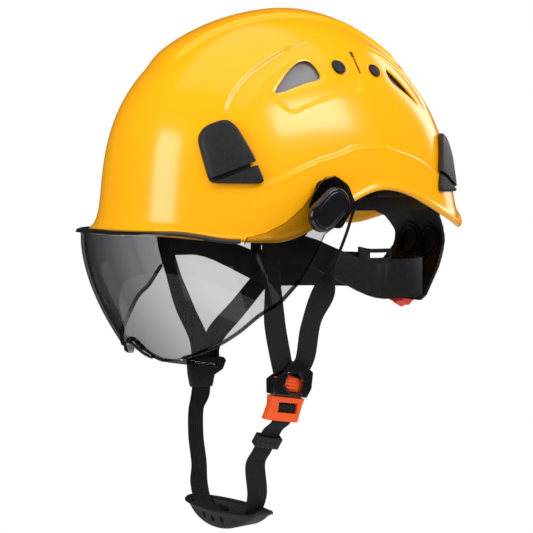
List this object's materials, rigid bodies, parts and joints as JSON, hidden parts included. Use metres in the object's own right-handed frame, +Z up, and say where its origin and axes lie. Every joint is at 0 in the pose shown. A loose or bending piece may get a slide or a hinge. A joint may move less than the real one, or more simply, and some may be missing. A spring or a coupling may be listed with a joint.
{
  "type": "hard hat",
  "caption": "Vented climbing-style hard hat with a flip-up tinted visor, nape ratchet wheel, head harness and a chin strap with push-button buckle.",
  "frame": {"origin": "middle of the head opening, level with the lowest edge of the brim", "axes": "+Z up through the crown, -Y towards the wearer's front, +X towards the wearer's left"},
  "size_m": [0.252, 0.2886, 0.383],
  "materials": {
    "shell_yellow": "glossy moulded plastic",
    "vent_mesh": "fine moulded mesh",
    "matt_black": "fine matt grain",
    "gloss_black": "glossy",
    "lens_smoke": "polished grey tint",
    "soft_black": "soft moulded",
    "foam_black": "knitted cover over foam",
    "webbing_black": "ribbed woven webbing",
    "pin_steel": "turned steel",
    "buckle_orange": "satin moulded plastic",
    "wheel_red": "satin moulded plastic"
  },
  "bodies": {
    "hat": {"shell": "shell_yellow", "vent_grille_front_left": "vent_mesh", "vent_grille_front_right": "vent_mesh", "vent_grille_rear_left": "vent_mesh", "vent_grille_rear_right": "vent_mesh", "vent_plug_front_left": "matt_black", "vent_plug_front_right": "matt_black", "vent_plug_rear_left": "matt_black", "vent_plug_rear_right": "matt_black", "lamp_clip_front_left": "matt_black", "lamp_clip_front_right": "matt_black", "lamp_clip_rear_left": "matt_black", "lamp_clip_rear_right": "matt_black", "visor_bracket_left": "gloss_black", "visor_bracket_right": "gloss_black", "pivot_pin_left": "pin_steel", "pivot_pin_right": "pin_steel", "headband": "matt_black", "nape_cradle": "matt_black", "adjuster_housing": "matt_black", "adjuster_cover": "matt_black", "nape_band_left": "matt_black", "nape_band_right": "matt_black", "brow_pad": "foam_black", "nape_pad": "foam_black", "crown_pad": "foam_black", "crown_strap_cross": "webbing_black", "crown_strap_left": "webbing_black", "crown_strap_right": "webbing_black", "harness_anchor_front_left": "matt_black", "harness_anchor_front_right": "matt_black", "harness_anchor_side_left": "matt_black", "harness_anchor_side_right": "matt_black", "harness_anchor_rear_left": "matt_black", "harness_anchor_rear_right": "matt_black", "chin_strap_front_left": "webbing_black", "chin_strap_front_right": "webbing_black", "chin_strap_rear_left": "webbing_black", "chin_strap_rear_right": "webbing_black", "junction_slider": "matt_black", "buckle_frame": "matt_black"},
    "visor": {"visor_lens": "lens_smoke", "visor_lip": "gloss_black", "nose_pad": "soft_black", "pivot_cap_left": "gloss_black", "pivot_cap_right": "gloss_black"},
    "wheel": {"adjuster_wheel": "wheel_red", "adjuster_pinion": "wheel_red"},
    "rack_left": {"rack_left": "matt_black"},
    "rack_right": {"rack_right": "matt_black"},
    "chin_loop": {"buckle_insert": "buckle_orange", "buckle_bar": "matt_black", "button_spring": "pin_steel", "lower_chin_strap": "webbing_black"},
    "button": {"release_button": "buckle_orange"},
    "keeper": {"strap_keeper": "matt_black"},
    "cup": {"chin_cup": "soft_black"}
  },
  "joints": [
    {"name": "visor_pivot", "type": "hinge", "parent": "hat", "child": "visor", "pos_m": [0, -0.0285, 0.0265], "axis": [-1, 0, 0], "range_deg": [0, 55]},
    {"name": "wheel_turn", "type": "hinge", "parent": "hat", "child": "wheel", "pos_m": [0, 0.1062, -0.036], "axis": [0, 0.8829, -0.4695], "range_deg": [-60, 60]},
    {"name": "rack_left_slide", "type": "slide", "parent": "hat", "child": "rack_left", "axis": [1, 0, 0], "range_m": [-0.0056, 0.0056]},
    {"name": "rack_right_slide", "type": "slide", "parent": "hat", "child": "rack_right", "axis": [-1, 0, 0], "range_m": [-0.0056, 0.0056]},
    {"name": "strap_release", "type": "hinge", "parent": "hat", "child": "chin_loop", "pos_m": [-0.064, -0.034, -0.11], "axis": [0, 1, 0], "range_deg": [0, 60]},
    {"name": "button_press", "type": "slide", "parent": "chin_loop", "child": "button", "axis": [-1, 0, 0], "range_m": [0, 0.001], "stiffness_N_per_m": 800},
    {"name": "keeper_slide", "type": "slide", "parent": "chin_loop", "child": "keeper", "axis": [-0.4716, -0.2188, -0.8542], "range_m": [-0.004, 0.008]},
    {"name": "cup_slide", "type": "hinge", "parent": "chin_loop", "child": "cup", "pos_m": [-0.0015, -0.047, -0.1472], "axis": [-0.2079, 0.9781, 0], "range_deg": [-4, 5]}
  ],
  "couplings": [
    {"joint": "rack_left_slide", "follows": "wheel_turn", "m_per_rad": 0.005},
    {"joint": "rack_right_slide", "follows": "wheel_turn", "m_per_rad": 0.005}
  ]
}
